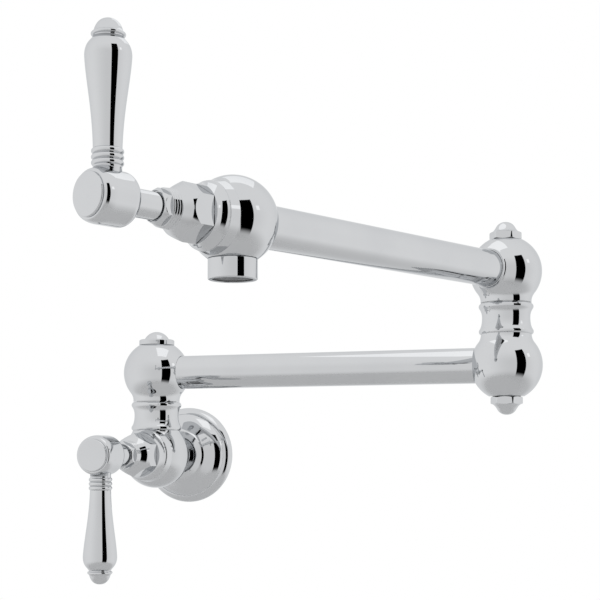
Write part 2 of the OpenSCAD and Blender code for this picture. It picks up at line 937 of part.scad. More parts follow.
// Round button on the hub's face, held by a spigot in the screw's pocket
module hub_cap() {
    cap_r = hub_cap_d / 2;
    rotate_extrude()
        polygon(concat(
            [[0, pocket_start + screw_head_t + 0.6], [pocket_r - slip_fit, pocket_start + screw_head_t + 0.6],
                [pocket_r - slip_fit, hub_end], [cap_r, hub_end]],
            arc([cap_r - 0.8, hub_end + hub_cap_t - 0.8], 0.8, 0, 90, 5),
            [[0, hub_end + hub_cap_t]]
        ));
}

// Turned lever with three rings at the hub, a grip that swells towards the end and a button
module lever() {
    thin_r = grip_thin_d / 2;
    thick_r = grip_thick_d / 2;
    span = button_at - rings_end;
    thick_at = rings_end + span * 0.81;
    shoulder = button_at - 1.3;
    dome_r = button_neck_r - 0.8;
    difference() {
        union() {
            rotate_extrude() {
                translate([0, hub_r - 4])
                    square([lever_neck_r, rings_end - hub_r + 4]);
                for (i = [0 : 2])
                    translate([ring_d / 2 - ring_round, ring_first + i * ring_pitch])
                        circle(r = ring_round, $fn = 48);
            }
            rotate_extrude()
                polygon(concat(
                    [[0, rings_end - 1], [thin_r, rings_end - 1]],
                    curve([thin_r, rings_end], [thin_r + 0.45, rings_end + span * 0.35],
                        [thick_r - 0.6, rings_end + span * 0.59], [thick_r, thick_at], 14),
                    curve([thick_r, thick_at], [thick_r - 0.1, thick_at + span * 0.11],
                        [button_neck_r + 0.7, thick_at + span * 0.13], [button_neck_r, shoulder], 8),
                    arc([button_d / 2 - 0.9, button_at], 0.9, -90, 70, 6),
                    curve([dome_r + 0.5, button_at + 1.6], [dome_r - 0.3, button_at + 4.4],
                        [dome_r * 0.7, lever_len], [0, lever_len], 10)
                ));
        }
        rotate([90, 0, 0])
            cylinder(r = hub_r + eps, h = hub_d * 2, center = true);
        bar(lever_stud_r + slip_fit, 0, lever_stud_end + 0.2);
    }
}

module lever_stud() {
    bar(lever_stud_r, lever_stud_start, lever_stud_end);
}

// Pieces of the base valve
module base_seal() {
    color(rubber)
        at_base_valve()
            cartridge_seal();
}

module base_fixed_disc() {
    color(white_ceramic)
        at_base_valve()
            fixed_disc();
}

module base_turning_disc() {
    color(white_ceramic)
        at_base_valve()
            turning_disc();
}

module base_cartridge() {
    color(brass)
        at_base_valve()
            cartridge_housing();
}

module base_stem() {
    color(brass)
        at_base_valve()
            valve_stem();
}

module base_bonnet() {
    color(chrome)
        at_base_valve()
            bonnet();
}

module base_packing() {
    color(rubber)
        at_base_valve()
            stem_packing();
}

module base_packing_nut() {
    color(chrome)
        at_base_valve()
            packing_nut();
}

module base_sleeve() {
    color(chrome)
        at_base_valve()
            stem_sleeve();
}

module base_hub() {
    color(chrome)
        at_base_valve()
            rotate([0, 0, 180])
                hub();
}

module base_hub_screw() {
    color(steel)
        at_base_valve()
            hub_screw();
}

module base_hub_cap() {
    color(chrome)
        at_base_valve()
            hub_cap();
}

module base_lever() {
    color(chrome)
        at_base_valve()
            lever_down()
                lever();
}

module base_lever_stud() {
    color(steel)
        at_base_valve()
            lever_down()
                lever_stud();
}

// Pieces of the head's valve
module head_seal() {
    color(rubber)
        at_head_valve()
            cartridge_seal();
}

module head_fixed_disc() {
    color(white_ceramic)
        at_head_valve()
            fixed_disc();
}

module head_turning_disc() {
    color(white_ceramic)
        at_head_valve()
            turning_disc();
}

module head_cartridge() {
    color(brass)
        at_head_valve()
            cartridge_housing();
}

module head_stem() {
    color(brass)
        at_head_valve()
            valve_stem();
}

module head_bonnet() {
    color(chrome)
        at_head_valve()
            bonnet();
}

module head_packing() {
    color(rubber)
        at_head_valve()
            stem_packing();
}

module head_packing_nut() {
    color(chrome)
        at_head_valve()
            packing_nut();
}

module head_sleeve() {
    color(chrome)
        at_head_valve()
            stem_sleeve();
}

module head_hub() {
    color(chrome)
        at_head_valve()
            hub();
}

module head_hub_screw() {
    color(steel)
        at_head_valve()
            hub_screw();
}

module head_hub_cap() {
    color(chrome)
        at_head_valve()
            hub_cap();
}

module head_lever() {
    color(chrome)
        at_head_valve()
            lever_up()
                lever();
}

module head_lever_stud() {
    color(steel)
        at_head_valve()
            lever_up()
                lever_stud();
}

wall_flange();
flange_ring();
base_valve_body();
post_collar();
post_spindle();
post_rings();
post_washer();
post_ball();
post_cap();
lower_arm();
elbow_lower_ball();
elbow_collar();
elbow_spindle();
elbow_rings();
elbow_washer();
elbow_upper_ball();
elbow_top_nut();
elbow_bottom_nut();
upper_arm();
head_valve_body();
aerator_shell();
aerator_washer();
aerator_core();
aerator_screen();
base_seal();
base_fixed_disc();
base_turning_disc();
base_cartridge();
base_stem();
base_bonnet();
base_packing();
base_packing_nut();
base_sleeve();
base_hub();
base_hub_screw();
base_hub_cap();
base_lever();
base_lever_stud();
head_seal();
head_fixed_disc();
head_turning_disc();
head_cartridge();
head_stem();
head_bonnet();
head_packing();
head_packing_nut();
head_sleeve();
head_hub();
head_hub_screw();
head_hub_cap();
head_lever();
head_lever_stud();
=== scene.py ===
import json
import math

import bpy
from mathutils import Matrix, Vector


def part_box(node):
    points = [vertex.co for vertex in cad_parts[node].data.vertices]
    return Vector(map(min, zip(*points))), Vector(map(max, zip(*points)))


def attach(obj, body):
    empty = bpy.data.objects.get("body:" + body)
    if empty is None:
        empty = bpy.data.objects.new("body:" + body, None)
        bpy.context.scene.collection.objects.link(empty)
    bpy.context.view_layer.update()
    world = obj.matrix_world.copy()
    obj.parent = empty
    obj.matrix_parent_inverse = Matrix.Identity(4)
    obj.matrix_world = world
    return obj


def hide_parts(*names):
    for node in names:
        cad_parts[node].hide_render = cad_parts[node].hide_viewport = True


# Looks of a chromed wall-mounted pot filler: two ball-jointed arms, two lever valves.
# Outlines are in millimetres, as (radius, height) points along a piece's own axis.
# Places are in metres, in the frame of the CAD model.

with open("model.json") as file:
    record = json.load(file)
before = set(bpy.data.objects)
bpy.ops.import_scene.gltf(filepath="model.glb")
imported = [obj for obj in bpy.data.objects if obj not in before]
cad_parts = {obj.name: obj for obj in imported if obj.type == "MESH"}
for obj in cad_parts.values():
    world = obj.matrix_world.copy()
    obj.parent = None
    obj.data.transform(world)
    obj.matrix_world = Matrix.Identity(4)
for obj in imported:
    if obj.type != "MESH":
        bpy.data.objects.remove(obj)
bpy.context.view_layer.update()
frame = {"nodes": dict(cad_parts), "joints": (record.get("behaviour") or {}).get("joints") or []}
nodes = frame["nodes"]
joints = {joint["name"]: joint for joint in frame["joints"]}

MM = 0.001
TURN_STEPS = 144
SAME_POINT = 1e-4
EDGE_ROUND = 0.22
EASE_STEPS = 4
SHARP_TURN = math.radians(25)
HEX_BEVEL = 0.12
BEVEL_TURN = math.radians(28)
RADIAL_FIT = 0.1
AXIAL_FIT = 0.1

# Places, from the joints of the frame
post = Vector(joints["post_swivel"]["pos_m"])
elbow = Vector(joints["elbow_swivel"]["pos_m"])
base_lever = Vector(joints["base_valve_turn"]["pos_m"])
head_lever = Vector(joints["head_valve_turn"]["pos_m"])
base_axis = Vector(joints["base_valve_turn"]["axis"])
head_axis = Vector(joints["head_valve_turn"]["axis"])
base_centre = Vector((post.x, post.y, base_lever.z))
head_centre = elbow + head_axis * (elbow - post).xy.length
lever_station = (base_lever - base_centre).length / MM

# Sizes of the wall flange: rim, bell, the sweep up to the boss, and the bore with its ring's groove
FLANGE_R = 33.3
FLANGE_DEPTH = 16.7
FLANGE_WALL = 1.6
RIM_SIDE_H = 0.8
RIM_ROUND = 6.0
RIM_TURN = 75
BELL_CENTRE = (16.5, -1.2)
BELL_ROUND = 14.5
BELL_TURNS = (32, 66)
SWEEP_CENTRE = (20.83, 18.92)
SWEEP_ROUND = 5.6
SWEEP_TURNS = (246, 220)
BOSS_R = 16.5
BOSS_EDGE_H = 15.35
BOSS_HOLE_R = 12.7
BOSS_INSIDE_H = 11.5
SHANK_R = 12.0
BORE_FOOT = 4.6
GROOVE_START = 6.4
GROOVE_END = 8.6
GROOVE_DEPTH = 1.8

# Sizes of the lips where the second arm's tube leaves the balls
BALL_R = 22.0
TUBE_R = 11.0
TUBE_LIP_T = 0.6
TUBE_LIP_CLEARANCE = 0.05
TUBE_LIP_END = 20.6
TUBE_LIP_BLEND = 2.5

# Sizes of the caps at the post and the elbow
CAP_R = 11.8
CAP_EDGE_H = 3.6
CAP_CHAMFER_H = 0.6
CAP_CHAMFER_W = 0.8
CAP_DOME_R = 8.3
CAP_DOME_H = 5.4
STUB_R = 4.1
STUB_HOLE_H = 6.3
NUT_AF = 17.6
NUT_HEX_H = 4.6
NUT_CORNER_CUT = 0.36
NUT_CHAMFER = 0.7
NUT_TOP = 11.3
NUT_DOME_R = 5.7
NUT_DOME_H = 3.1
NUT_TURN = -27.3

# Stations and radii of a valve, out along its axis from the ball's centre
NECK_R = 16.7
NECK_END = 18.0
NECK_FOOT = 12.8
SKIRT_R = 13.5
SKIRT_START = 13.8
FOOT_END = 24.3
FOOT_GROOVE = 0.25
HEX_START = 24.6
BONNET_AF = 24.6
HEX_OVER = 0.4
HEX_CHAMFER = 3.1
HEX_END = 36.1
DOME_END = 40.7
DOME_STEP = 1.5
NOSE_R = 9.6
NOSE_END = 46.3
RIBS = 4
RIB_H = 0.45
RIB_RISE = 0.5
RIB_TAPER = 0.12
BARREL_R = 8.3
BARREL_END = 31.9
STEM_HOLE_R = 4.9
PACKING_BASE = 37.9
PACKING_T = 2.8
PACKING_R = 7.2
PACKING_NUT_AF = 15.4
PACKING_NUT_END = 51.1
PACKING_NUT_BEVEL = 0.15
SLEEVE_R = 6.5
SLEEVE_WALL = 1.9
SLEEVE_START = 48.7
SLEEVE_END = 68.6
SLEEVE_CLEARANCE = 0.05
HUB_R = 12.4
HUB_START = 66.0
HUB_END = 87.6
HUB_REAR_ROUND = 5.0
HUB_FRONT_ROUND = 2.1
HUB_CAP_R = 10.0
HUB_CAP_T = 1.3
HUB_CAP_ROUND = 0.8
POCKET_R = 6.0
POCKET_START = 81.2
STEM_END = 79.2
SPLINE_R = 3.9
SCREW_R = 2.0
SCREW_HEAD_T = 3.0

# Stations and radii of a lever, out from the valve's axis
RINGS = 3
RING_R = 7.2
RING_PITCH = 2.6
RING_ROUND = 1.4
RING_FIRST = 15.0
LEVER_NECK_R = 6.4
LEVER_FOOT_IN = 4
GRIP_THIN_R = 6.45
GRIP_THICK_R = 10.5
GRIP_THICK_SHARE = 0.81
BUTTON_R = 7.7
BUTTON_ROUND = 0.9
BUTTON_NECK_R = 6.8
BUTTON_AT = 72.0
LEVER_TIP = 79.2
STUD_R = 3.1
STUD_HOLE_END = 25.8

# Heights and radii of the aerator, down from the head's centre
AERATOR_R = 12.05
AERATOR_SEAT = 18.3
AERATOR_CHAMFER = 0.4
AERATOR_FOOT = 28.5
AERATOR_FOOT_ROUND = 0.7
SPIGOT_R = 10.65
SCREEN_OPEN_R = 9.9
SCREEN_T = 0.5
LIP_T = 0.8
WIRE_PITCH = 0.78
WIRE_D = 0.32
WIRE_WAVE = 0.06

# Camera of the photograph, found by fitting the model to it
CAMERA_AT = (0.3896, -0.8463, 0.0022)
CAMERA_YAW = 19.87
CAMERA_PITCH = 2.58
CAMERA_LENS = 78.25
CAMERA_SENSOR = 36
CAMERA_SHIFT = 0.155

# Surround, in degrees around the fitting (0 towards -Y, 90 towards +X) and above its level
FLOOR_EDGE = (-45, -18)
FLOOR_TONE = 0.72
SHADE_SIDES = (-15, 85)
SHADE_SOFT = 45
SHADE_FADE = (5, 45)
SHADE_DEPTH = 0.16
FLAG_SIDES = (44, 76)
FLAG_SOFT = 0.5
FLAG_FOOT = (-42, -24)
FLAG_TOP = (42, 43)
GLINT_SIDES = (86, 96)
GLINT_HEIGHTS = (19, 28)
GLINT_SOFT = 1
GLINT_STRENGTH = 0.35
TENT_STRENGTH = 0.985

# Overhead lamp and floor, in metres
LAMP_AT = (0.13, -0.09, 0.41)
LAMP_SIZE = (0.262, 0.195, 1)
LAMP_TURN = -57
LAMP_STRENGTH = 1.3
FLOOR_AT = (0.12, -0.2, -0.45)
FLOOR_R = 0.7
FLOOR_FADE = (0.35, 0.68)


# Outlines

def arc(centre, radius, start, end, steps=10):
    """Points of an arc about a centre, angles in degrees."""
    turns = [math.radians(start + (end - start) * i / steps) for i in range(steps + 1)]
    return [(centre[0] + radius * math.cos(a), centre[1] + radius * math.sin(a)) for a in turns]


def curve(a, b, c, d, steps=28):
    """Points of a cubic curve between its two end points."""
    points = []
    for i in range(steps + 1):
        t = i / steps
        u = 1 - t
        weights = (u * u * u, 3 * u * u * t, 3 * u * t * t, t * t * t)
        points.append(tuple(sum(w * p[k] for w, p in zip(weights, (a, b, c, d))) for k in (0, 1)))
    return points


def eased(outline, size=EDGE_ROUND):
    """The outline without repeated points, each of its sharp corners rounded a little."""
    outline = outline[:1] + [here for before, here in zip(outline, outline[1:])
                             if math.dist(here, before) > SAME_POINT]
    points = [outline[0]]
    for before, corner, after in zip(outline, outline[1:], outline[2:]):
        corner = Vector(corner)
        back = Vector(before) - corner
        on = Vector(after) - corner
        if math.pi - back.angle(on) < SHARP_TURN:
            points.append(tuple(corner))
            continue
        step = min(size, back.length * 0.4, on.length * 0.4)
        start = corner + back.normalized() * step
        end = corner + on.normalized() * step
        for i in range(EASE_STEPS + 1):
            t = i / EASE_STEPS
            points.append(tuple(start * (1 - t) ** 2 + corner * 2 * t * (1 - t) + end * t * t))
    points.append(outline[-1])
    return points


# Modelling steps

def only(obj):
    """Selects this object alone and makes it the active one."""
    bpy.ops.object.select_all(action="DESELECT")
    obj.select_set(True)
    bpy.context.view_layer.objects.active = obj


def turned(name, outline):
    """A piece turned about its own Z axis from an outline of (radius, height) points."""
    turn = math.pi / TURN_STEPS
    points = [Vector((r * math.cos(turn), r * math.sin(turn), z)) * MM for r, z in eased(outline)]
    bpy.ops.object.select_all(action="DESELECT")
    bpy.ops.mesh.primitive_plane_add(size=MM)
    obj = bpy.context.object
    obj.name = name
    bpy.ops.object.mode_set(mode="EDIT")
    bpy.ops.mesh.select_mode(type="VERT")
    bpy.ops.mesh.select_all(action="SELECT")
    bpy.ops.mesh.merge(type="CENTER")
    bpy.ops.transform.translate(value=points[0])
    for here, there in zip(points, points[1:]):
        bpy.ops.mesh.extrude_vertices_move(TRANSFORM_OT_translate={"value": there - here})
    bpy.ops.mesh.select_all(action="SELECT")
    bpy.ops.mesh.spin(steps=TURN_STEPS, angle=2 * math.pi, center=(0, 0, 0), axis=(0, 0, 1))
    bpy.ops.mesh.select_all(action="SELECT")
    bpy.ops.mesh.remove_doubles(threshold=0.0005 * MM)
    bpy.ops.mesh.normals_make_consistent(inside=False)
    bpy.ops.object.mode_set(mode="OBJECT")
    return obj


def mill_flats(obj, across, start, end):
    """Cuts six flats between two heights, with two corners on the piece's own Y axis."""
    only(obj)
    for i in range(6):
        turn = math.radians(60 * i)
        outward = Vector((math.cos(turn), math.sin(turn), 0))
        bpy.ops.object.mode_set(mode="EDIT")
        bpy.ops.mesh.select_mode(type="FACE")
        bpy.ops.mesh.select_all(action="DESELECT")
        bpy.ops.object.mode_set(mode="OBJECT")
        for face in obj.data.polygons:
            face.select = start * MM < face.center.z < end * MM
        bpy.ops.object.mode_set(mode="EDIT")
        bpy.ops.mesh.bisect(plane_co=outward * across / 2 * MM, plane_no=outward,
                            use_fill=True, clear_outer=True)
        bpy.ops.object.mode_set(mode="OBJECT")


def apply_modifier(obj, kind, **settings):
    """Adds a modifier with these settings and applies it."""
    only(obj)
    bpy.ops.object.modifier_add(type=kind)
    modifier = obj.modifiers[-1]
    for key, value in settings.items():
        setattr(modifier, key, value)
    bpy.ops.object.modifier_apply(modifier=modifier.name)


def soften_edges(obj, width):
    """Rounds the edges that are left sharp."""
    apply_modifier(obj, "BEVEL", width=width * MM, segments=3, limit_method="ANGLE",
                   angle_limit=BEVEL_TURN, use_clamp_overlap=True)


def polish(obj):
    """Smooth shading that keeps flats flat and round stretches round."""
    only(obj)
    bpy.ops.object.shade_smooth()
    apply_modifier(obj, "WEIGHTED_NORMAL", mode="FACE_AREA", weight=50, keep_sharp=False)


def cut_round(obj, radius, length, turn):
    """Takes a round bar that crosses the piece's axis away from it."""
    bpy.ops.object.select_all(action="DESELECT")
    bpy.ops.mesh.primitive_cylinder_add(vertices=TURN_STEPS, radius=radius * MM, depth=length * MM,
                                        rotation=turn)
    tool = bpy.context.object
    apply_modifier(obj, "BOOLEAN", operation="DIFFERENCE", object=tool, solver="EXACT")
    bpy.data.objects.remove(tool)


def placed(obj, place, body, node, finish):
    """Puts a finished piece in its place, on its body, instead of its CAD node if it has one."""
    only(obj)
    obj.matrix_world = place
    bpy.ops.object.transform_apply(location=True, rotation=True, scale=True)
    obj.data.materials.clear()
    obj.data.materials.append(finish)
    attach(obj, body)
    if node:
        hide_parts(node)
    return obj


def copied(obj, name):
    """A copy of a piece that isn't placed yet, with its own mesh."""
    twin = obj.copy()
    twin.data = obj.data.copy()
    twin.name = name
    bpy.context.collection.objects.link(twin)
    return twin


def out_along(origin, axis):
    """Place whose +Z runs out along a level axis and whose +Y is up."""
    up = Vector((0, 0, 1))
    place = Matrix((up.cross(axis), up, axis)).transposed().to_4x4()
    place.translation = origin
    return place


def standing(origin, over=False, turn=0):
    """Place with +Z up, or down where the piece hangs, turned about it by some degrees."""
    tilt = Matrix.Rotation(math.pi if over else 0, 4, "X")
    return Matrix.Translation(origin) @ Matrix.Rotation(math.radians(turn), 4, "Z") @ tilt


def lever_place(valve, up):
    """Place of a lever on a valve, +Z out along the lever."""
    tilt = Matrix.Rotation(math.radians(-90 if up else 90), 4, "X")
    return valve @ Matrix.Translation((0, 0, lever_station * MM)) @ tilt


# Materials

def new_material(name):
    """A new material with its nodes and links."""
    material = bpy.data.materials.new(name)
    material.use_nodes = True
    return material, material.node_tree.nodes, material.node_tree.links


def noise(tree_nodes, links, scale, detail=2.0, stretch=(1, 1, 1)):
    """Noise on the piece's own coordinates, in metres."""
    where = tree_nodes.new("ShaderNodeTexCoord")
    mapping = tree_nodes.new("ShaderNodeMapping")
    mapping.inputs["Scale"].default_value = stretch
    grain = tree_nodes.new("ShaderNodeTexNoise")
    grain.inputs["Scale"].default_value = scale
    grain.inputs["Detail"].default_value = detail
    links.new(where.outputs["Object"], mapping.inputs["Vector"])
    links.new(mapping.outputs["Vector"], grain.inputs["Vector"])
    return grain.outputs["Fac"]


def tinted(tree_nodes, links, source, low, high):
    """A colour between two, by a noise."""
    ramp = tree_nodes.new("ShaderNodeValToRGB")
    ramp.color_ramp.elements[0].position = 0.3
    ramp.color_ramp.elements[0].color = (*low, 1)
    ramp.color_ramp.elements[1].position = 0.7
    ramp.color_ramp.elements[1].color = (*high, 1)
    links.new(source, ramp.inputs["Fac"])
    return ramp.outputs["Color"]


def ranged(tree_nodes, links, source, low, high):
    """A noise brought between two values."""
    spread = tree_nodes.new("ShaderNodeMapRange")
    spread.inputs["From Min"].default_value = 0.3
    spread.inputs["From Max"].default_value = 0.7
    spread.inputs["To Min"].default_value = low
    spread.inputs["To Max"].default_value = high
    links.new(source, spread.inputs["Value"])
    return spread.outputs["Result"]


def bumped(tree_nodes, links, shader, source, strength, depth):
    """Fine relief on a shader, its depth in millimetres."""
    bump = tree_nodes.new("ShaderNodeBump")
    bump.inputs["Strength"].default_value = strength
    bump.inputs["Distance"].default_value = depth * MM
    links.new(source, bump.inputs["Height"])
    links.new(bump.outputs["Normal"], shader.inputs["Normal"])


def surface(name, low, high, metallic, rough, grain, bump, stretch=(1, 1, 1), rim=None):
    """A finish whose colour, roughness and relief vary a little with the piece."""
    material, tree_nodes, links = new_material(name)
    shader = tree_nodes["Principled BSDF"]
    shader.inputs["Metallic"].default_value = metallic
    if rim:
        shader.inputs["Specular Tint"].default_value = (*rim, 1)
    tone = noise(tree_nodes, links, grain[0], 3, stretch)
    links.new(tinted(tree_nodes, links, tone, low, high), shader.inputs["Base Color"])
    wear = noise(tree_nodes, links, grain[1], 4, stretch)
    links.new(ranged(tree_nodes, links, wear, *rough), shader.inputs["Roughness"])
    relief = noise(tree_nodes, links, grain[2], 2, stretch)
    bumped(tree_nodes, links, shader, relief, *bump)
    return material


def chrome_plate():
    """Polished chrome with the faint haze and waves of plated brass."""
    return surface("chrome_plate", (0.615, 0.625, 0.640), (0.640, 0.650, 0.662), metallic=1.0,
                   rough=(0.015, 0.045), grain=(35, 90, 120), bump=(0.03, 0.02),
                   rim=(0.80, 0.81, 0.82))


def turned_brass():
    """Brass as the lathe leaves it, for the spindles, cartridges and stems."""
    return surface("turned_brass", (0.50, 0.33, 0.11), (0.60, 0.42, 0.16), metallic=1.0,
                   rough=(0.22, 0.38), grain=(60, 240, 900), bump=(0.25, 0.03))


def drawn_steel():
    """Steel of the hubs' screws, the levers' studs and the aerator's wires."""
    return surface("drawn_steel", (0.26, 0.265, 0.275), (0.36, 0.365, 0.375), metallic=1.0,
                   rough=(0.25, 0.42), grain=(120, 400, 1600), bump=(0.2, 0.02))


def seal_rubber():
    """Black rubber of the rings, seals, packings and the aerator's washer."""
    return surface("seal_rubber", (0.008, 0.008, 0.009), (0.016, 0.016, 0.017), metallic=0.0,
                   rough=(0.55, 0.75), grain=(200, 500, 2200), bump=(0.3, 0.03))


def disc_ceramic():
    """Ground ceramic of the cartridges' discs."""
    return surface("disc_ceramic", (0.84, 0.84, 0.82), (0.90, 0.90, 0.88), metallic=0.0,
                   rough=(0.12, 0.2), grain=(80, 300, 1500), bump=(0.05, 0.01))


def core_nylon():
    """Pale nylon of the swivels' washers and the aerator's core."""
    return surface("core_nylon", (0.72, 0.72, 0.68), (0.80, 0.80, 0.76), metallic=0.0,
                   rough=(0.4, 0.55), grain=(90, 300, 1200), bump=(0.15, 0.02))


SLOT_OF = {"chrome_plate": "chrome", "turned_brass": "brass", "drawn_steel": "steel",
           "seal_rubber": "rubber", "disc_ceramic": "ceramic", "core_nylon": "nylon"}
chrome = chrome_plate()
steel = drawn_steel()
finishes = {SLOT_OF[made.name]: made for made in (
    chrome, turned_brass(), steel, seal_rubber(), disc_ceramic(), core_nylon())}


def dress_cad():
    """Gives each CAD node the finish of its material."""
    for node in nodes.values():
        for slot in node.material_slots:
            slot.material = finishes[slot.material.name.split(".")[0]]


# Wall flange

def wall_flange():
    """Bell-shaped flange with a rounded rim, a conical boss front and a groove for its ring."""
    hole_r = SHANK_R + RADIAL_FIT
    groove_r = hole_r + GROOVE_DEPTH
    boss_inner_r = BOSS_R - FLANGE_WALL
    rim_inner_r = FLANGE_R - FLANGE_WALL
    rim = arc((FLANGE_R - RIM_ROUND, RIM_SIDE_H), RIM_ROUND, 0, RIM_TURN, 24)
    bell = arc(BELL_CENTRE, BELL_ROUND, *BELL_TURNS, 24)
    sweep = arc(SWEEP_CENTRE, SWEEP_ROUND, *SWEEP_TURNS, 14)
    inside = [(r - FLANGE_WALL * 0.8, z - FLANGE_WALL * 0.7) for r, z in reversed(bell[2:])]
    outline = [(rim_inner_r, 0), (FLANGE_R, 0)]
    outline += rim + bell + sweep
    outline += [(BOSS_R, BOSS_EDGE_H), (BOSS_HOLE_R, FLANGE_DEPTH),
                (BOSS_HOLE_R - 0.3, FLANGE_DEPTH - 0.4), (hole_r, FLANGE_DEPTH - 0.6),
                (hole_r, GROOVE_END), (groove_r, GROOVE_END),
                (groove_r, GROOVE_START), (hole_r, GROOVE_START),
                (hole_r, BORE_FOOT), (boss_inner_r, BORE_FOOT), (boss_inner_r, BOSS_INSIDE_H)]
    outline += inside
    outline += [(rim_inner_r, RIM_SIDE_H + 1.4), (rim_inner_r, 0)]
    flange = turned("flange_bell", outline)
    polish(flange)
    placed(flange, out_along((0, 0, 0), base_axis), "wall_body", "wall_flange", chrome)


# Tube lips

def tube_lips():
    """Short hollow lips that lead the balls over to the second arm's tube."""
    bore_r = TUBE_R + TUBE_LIP_CLEARANCE
    across = TUBE_R + TUBE_LIP_T + TUBE_LIP_BLEND
    out = math.sqrt((BALL_R + TUBE_LIP_BLEND) ** 2 - across ** 2)
    blend_start = 180 + math.degrees(math.atan2(out, across))
    blend = arc((across, out), TUBE_LIP_BLEND, blend_start, 180, 12)
    foot_r, foot_h = blend[0]
    outline = [(bore_r, foot_h - 0.5), (foot_r - 0.3, foot_h - 0.5)]
    outline += blend
    outline += [(TUBE_R + TUBE_LIP_T, TUBE_LIP_END), (bore_r, TUBE_LIP_END), outline[0]]
    near = turned("elbow_tube_lip", outline)
    polish(near)
    far = copied(near, "head_tube_lip")
    centre = Vector((elbow.x, elbow.y, head_centre.z))
    placed(near, out_along(centre, head_axis), "second_arm", None, chrome)
    placed(far, out_along(head_centre, -head_axis), "second_arm", None, chrome)


# Caps

def post_cap():
    """Round cap with a chamfered edge and a low dome, on top of the post."""
    dome_arc_r = (CAP_DOME_R ** 2 + CAP_DOME_H ** 2) / (2 * CAP_DOME_H)
    dome_turn = math.degrees(math.asin(CAP_DOME_R / dome_arc_r))
    outline = [(0, STUB_HOLE_H), (STUB_R, STUB_HOLE_H), (STUB_R, 0), (CAP_R, 0),
               (CAP_R, CAP_EDGE_H - CAP_CHAMFER_H), (CAP_R - CAP_CHAMFER_W, CAP_EDGE_H)]
    outline += arc((0, CAP_EDGE_H + CAP_DOME_H - dome_arc_r), dome_arc_r, 90 - dome_turn, 90, 24)
    cap = turned("post_button", outline)
    polish(cap)
    seat = Vector((post.x, post.y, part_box("post_cap")[0].z))
    placed(cap, standing(seat), "wall_body", "post_cap", chrome)


def acorn_nuts():
    """Acorn nuts above and below the elbow: a hexagon, a hollow flare and a dome."""
    flat_r = NUT_AF / 2
    corner_r = flat_r / math.cos(math.radians(30)) - NUT_CORNER_CUT
    flare_end = NUT_TOP - NUT_DOME_H
    outline = [(0, STUB_HOLE_H), (STUB_R, STUB_HOLE_H), (STUB_R, 0), (flat_r - 0.5, 0),
               (corner_r, NUT_CHAMFER), (corner_r, NUT_HEX_H - 0.3)]
    outline += curve((corner_r - 0.3, NUT_HEX_H), (NUT_DOME_R + 1.7, NUT_HEX_H + 0.4),
                     (NUT_DOME_R + 0.6, flare_end - 1), (NUT_DOME_R, flare_end), 18)
    outline += curve((NUT_DOME_R, flare_end), (NUT_DOME_R - 0.65, flare_end + 1.15),
                     (NUT_DOME_R * 0.6, NUT_TOP), (0, NUT_TOP), 24)[1:]
    upper = turned("elbow_upper_acorn", outline)
    mill_flats(upper, NUT_AF, 0.01, NUT_TOP)
    soften_edges(upper, HEX_BEVEL)
    polish(upper)
    lower = copied(upper, "elbow_lower_acorn")
    top = Vector((elbow.x, elbow.y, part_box("elbow_top_nut")[0].z))
    bottom = Vector((elbow.x, elbow.y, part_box("elbow_bottom_nut")[1].z))
    placed(upper, standing(top, turn=NUT_TURN), "first_arm", "elbow_top_nut", chrome)
    placed(lower, standing(bottom, True, NUT_TURN), "first_arm", "elbow_bottom_nut", chrome)


# Valve pieces, modelled once and copied to the other valve

def neck_ring():
    """Turned land of the body's neck, up to the bonnet's foot."""
    inner_r = NECK_R - 0.5
    foot_r = math.sqrt(BALL_R ** 2 - NECK_FOOT ** 2)
    start = NECK_FOOT - 0.4
    end = NECK_END - 0.02
    outline = [(inner_r, start), (foot_r - 0.2, start), (foot_r + 0.03, NECK_FOOT),
               (NECK_R + 0.06, end), (inner_r, end), (inner_r, start)]
    piece = turned("base_neck_ring", outline)
    polish(piece)
    return piece


def bonnet():
    """Bonnet nut: a flared foot, a hexagon, a dome and a ribbed nose on a bored barrel."""
    flat_r = BONNET_AF / 2
    corner_r = flat_r / math.cos(math.radians(30))
    hex_r = corner_r + HEX_OVER
    groove_r = flat_r - FOOT_GROOVE
    chamfer_back = HEX_CHAMFER * (1 + HEX_OVER / (corner_r - flat_r))
    dome_r = NOSE_R - DOME_STEP
    packing_r = PACKING_R + RADIAL_FIT
    outline = [(BARREL_R, SKIRT_START), (SKIRT_R, SKIRT_START), (SKIRT_R, NECK_END),
               (NECK_R, NECK_END)]
    outline += curve((NECK_R, NECK_END + 0.3), (NECK_R - 1.3, NECK_END + 1.6),
                     (corner_r + 0.2, FOOT_END - 2.3), (corner_r, FOOT_END), 24)
    outline += [(groove_r, FOOT_END), (groove_r, HEX_START), (hex_r, HEX_START),
                (hex_r, HEX_END - chamfer_back)]
    outline += curve((flat_r - 0.37, HEX_END + 0.6), (flat_r - 1.25, HEX_END + 1.75),
                     (dome_r + 1.15, DOME_END - 1), (dome_r, DOME_END), 24)
    outline += [(dome_r, DOME_END + 0.2)]
    for i in range(RIBS):
        crest = NOSE_R - RIB_TAPER * i
        start = DOME_END + 0.3 + i * (NOSE_END - DOME_END) / RIBS
        outline += [(crest - RIB_H, start), (crest, start + RIB_RISE)]
    outline += [(NOSE_R - 0.7, NOSE_END), (packing_r, NOSE_END), (packing_r, PACKING_BASE),
                (STEM_HOLE_R, PACKING_BASE), (STEM_HOLE_R, BARREL_END), (BARREL_R, BARREL_END),
                (BARREL_R, SKIRT_START)]
    piece = turned("base_bonnet_nut", outline)
    mill_flats(piece, BONNET_AF, HEX_START - 0.01, DOME_END)
    soften_edges(piece, HEX_BEVEL)
    polish(piece)
    return piece


